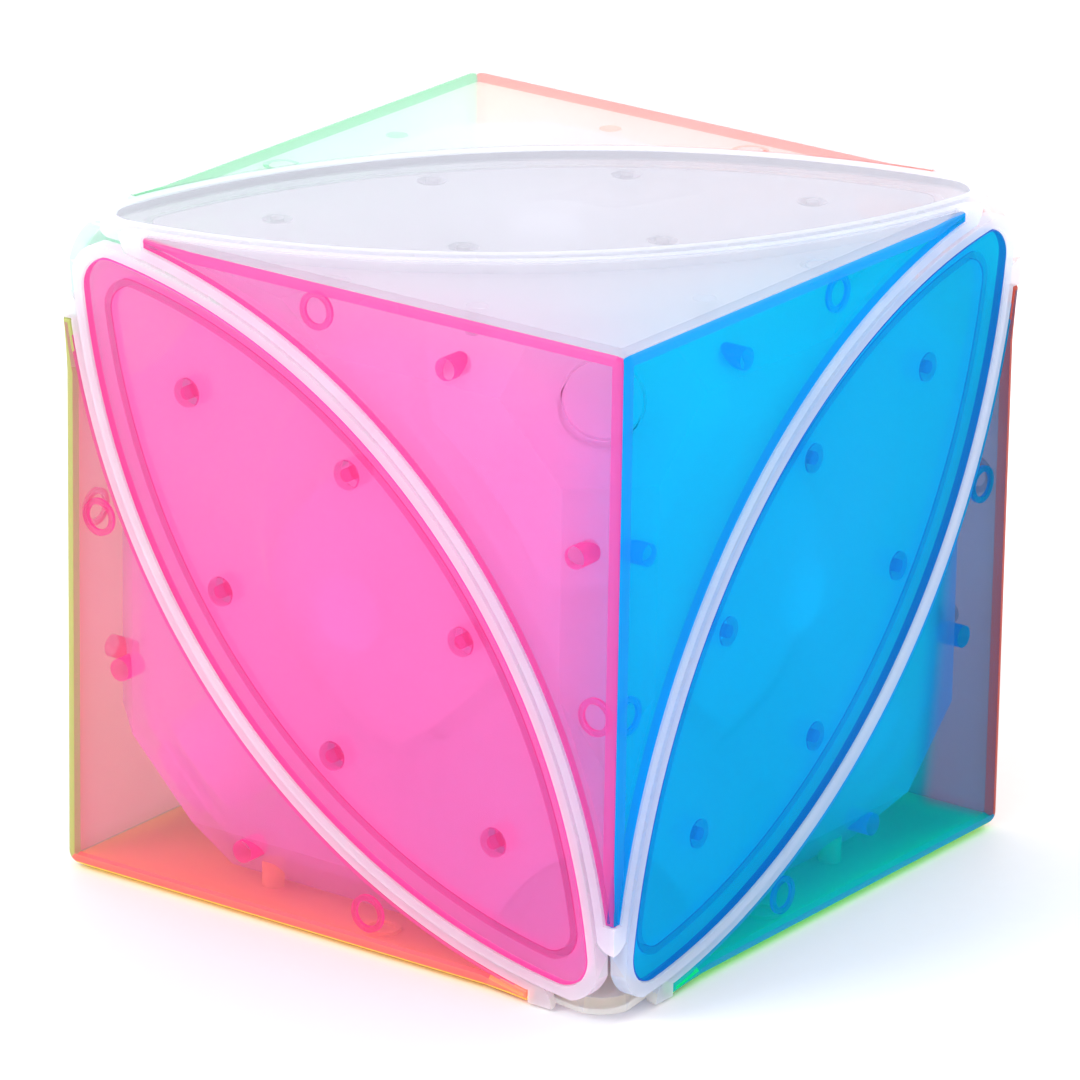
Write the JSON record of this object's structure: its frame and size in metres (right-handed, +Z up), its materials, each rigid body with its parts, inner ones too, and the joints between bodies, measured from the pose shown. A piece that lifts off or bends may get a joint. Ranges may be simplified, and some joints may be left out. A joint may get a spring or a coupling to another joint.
{
  "type": "corner-turning leaf-cut cube puzzle",
  "caption": "See-through twisty puzzle cube: corner layers turn about the body diagonals, and each face shows a leaf-shaped centre between two curved corner tiles.",
  "frame": {"origin": "centre of the cube, where the four turning axes cross", "axes": "+Z up through the white top face, -Y out of the pink face, +X out of the blue face"},
  "size_m": [0.0564, 0.0564, 0.0564],
  "materials": {
    "tile_white": "clear milky white plastic, satin sheen",
    "tile_yellow": "see-through lemon yellow plastic, satin sheen",
    "tile_pink": "see-through pink plastic, satin sheen",
    "tile_orange": "see-through orange-red plastic, satin sheen",
    "tile_blue": "see-through sky blue plastic, satin sheen",
    "tile_green": "see-through mint green plastic, satin sheen",
    "frosted_clear": "colourless frosted see-through plastic",
    "inner_white": "plain white plastic",
    "bright_steel": "bright plated steel"
  },
  "bodies": {
    "core": {"core": "inner_white"},
    "corner_a": {"corner_base_a": "frosted_clear", "corner_hub_a": "inner_white", "spring_a": "bright_steel", "washer_a": "bright_steel", "corner_tile_a_front": "tile_pink", "corner_tile_a_right": "tile_blue", "corner_tile_a_top": "tile_white"},
    "screw_a": {"tension_screw_a": "bright_steel"},
    "corner_b": {"corner_base_b": "frosted_clear", "corner_hub_b": "inner_white", "spring_b": "bright_steel", "washer_b": "bright_steel", "corner_tile_b_back": "tile_orange", "corner_tile_b_left": "tile_green", "corner_tile_b_top": "tile_white"},
    "screw_b": {"tension_screw_b": "bright_steel"},
    "corner_c": {"corner_base_c": "frosted_clear", "corner_hub_c": "inner_white", "spring_c": "bright_steel", "washer_c": "bright_steel", "corner_tile_c_bottom": "tile_yellow", "corner_tile_c_front": "tile_pink", "corner_tile_c_left": "tile_green"},
    "screw_c": {"tension_screw_c": "bright_steel"},
    "corner_d": {"corner_base_d": "frosted_clear", "corner_hub_d": "inner_white", "spring_d": "bright_steel", "washer_d": "bright_steel", "corner_tile_d_back": "tile_orange", "corner_tile_d_bottom": "tile_yellow", "corner_tile_d_right": "tile_blue"},
    "screw_d": {"tension_screw_d": "bright_steel"},
    "leaf_top": {"leaf_base_top": "frosted_clear", "leaf_foot_top": "inner_white", "leaf_tile_top": "tile_white"},
    "leaf_bottom": {"leaf_base_bottom": "frosted_clear", "leaf_foot_bottom": "inner_white", "leaf_tile_bottom": "tile_yellow"},
    "leaf_front": {"leaf_base_front": "frosted_clear", "leaf_foot_front": "inner_white", "leaf_tile_front": "tile_pink"},
    "leaf_back": {"leaf_base_back": "frosted_clear", "leaf_foot_back": "inner_white", "leaf_tile_back": "tile_orange"},
    "leaf_right": {"leaf_base_right": "frosted_clear", "leaf_foot_right": "inner_white", "leaf_tile_right": "tile_blue"},
    "leaf_left": {"leaf_base_left": "frosted_clear", "leaf_foot_left": "inner_white", "leaf_tile_left": "tile_green"}
  },
  "joints": [
    {"name": "corner_a_turn", "type": "hinge", "parent": "core", "child": "corner_a", "pos_m": [0, 0, 0], "axis": [0.5774, -0.5774, 0.5774], "range_deg": [-240, 120]},
    {"name": "corner_b_turn", "type": "hinge", "parent": "core", "child": "corner_b", "pos_m": [0, 0, 0], "axis": [-0.5774, 0.5774, 0.5774], "range_deg": [-240, 120]},
    {"name": "corner_c_turn", "type": "hinge", "parent": "core", "child": "corner_c", "pos_m": [0, 0, 0], "axis": [-0.5774, -0.5774, -0.5774], "range_deg": [-240, 120]},
    {"name": "corner_d_turn", "type": "hinge", "parent": "core", "child": "corner_d", "pos_m": [0, 0, 0], "axis": [0.5774, 0.5774, -0.5774], "range_deg": [-240, 120]},
    {"name": "screw_a_turn", "type": "hinge", "parent": "core", "child": "screw_a", "pos_m": [0, 0, 0], "axis": [0.5774, -0.5774, 0.5774], "range_deg": [-180, 180]},
    {"name": "screw_b_turn", "type": "hinge", "parent": "core", "child": "screw_b", "pos_m": [0, 0, 0], "axis": [-0.5774, 0.5774, 0.5774], "range_deg": [-180, 180]},
    {"name": "screw_c_turn", "type": "hinge", "parent": "core", "child": "screw_c", "pos_m": [0, 0, 0], "axis": [-0.5774, -0.5774, -0.5774], "range_deg": [-180, 180]},
    {"name": "screw_d_turn", "type": "hinge", "parent": "core", "child": "screw_d", "pos_m": [0, 0, 0], "axis": [0.5774, 0.5774, -0.5774], "range_deg": [-180, 180]},
    {"name": "leaf_top_turn", "type": "hinge", "parent": "corner_a", "child": "leaf_top", "pos_m": [0, 0, 0], "axis": [-0.5774, 0.5774, 0.5774], "range_deg": [-240, 120]},
    {"name": "leaf_front_turn", "type": "hinge", "parent": "corner_c", "child": "leaf_front", "pos_m": [0, 0, 0], "axis": [0.5774, -0.5774, 0.5774], "range_deg": [-240, 120]},
    {"name": "leaf_right_turn", "type": "hinge", "parent": "corner_a", "child": "leaf_right", "pos_m": [0, 0, 0], "axis": [0.5774, 0.5774, -0.5774], "range_deg": [-240, 120]},
    {"name": "leaf_left_turn", "type": "hinge", "parent": "corner_b", "child": "leaf_left", "pos_m": [0, 0, 0], "axis": [-0.5774, -0.5774, -0.5774], "range_deg": [-240, 120]},
    {"name": "leaf_back_turn", "type": "hinge", "parent": "corner_b", "child": "leaf_back", "pos_m": [0, 0, 0], "axis": [0.5774, 0.5774, -0.5774], "range_deg": [-240, 120]},
    {"name": "leaf_bottom_turn", "type": "hinge", "parent": "corner_c", "child": "leaf_bottom", "pos_m": [0, 0, 0], "axis": [0.5774, 0.5774, -0.5774], "range_deg": [-240, 120]}
  ],
  "couplings": [
    {"joint": "leaf_top_turn", "follows": "corner_b_turn", "ratio": 1},
    {"joint": "leaf_front_turn", "follows": "corner_a_turn", "ratio": 1},
    {"joint": "leaf_right_turn", "follows": "corner_d_turn", "ratio": 1},
    {"joint": "leaf_left_turn", "follows": "corner_c_turn", "ratio": 1},
    {"joint": "leaf_back_turn", "follows": "corner_d_turn", "ratio": 1},
    {"joint": "leaf_bottom_turn", "follows": "corner_d_turn", "ratio": 1}
  ]
}
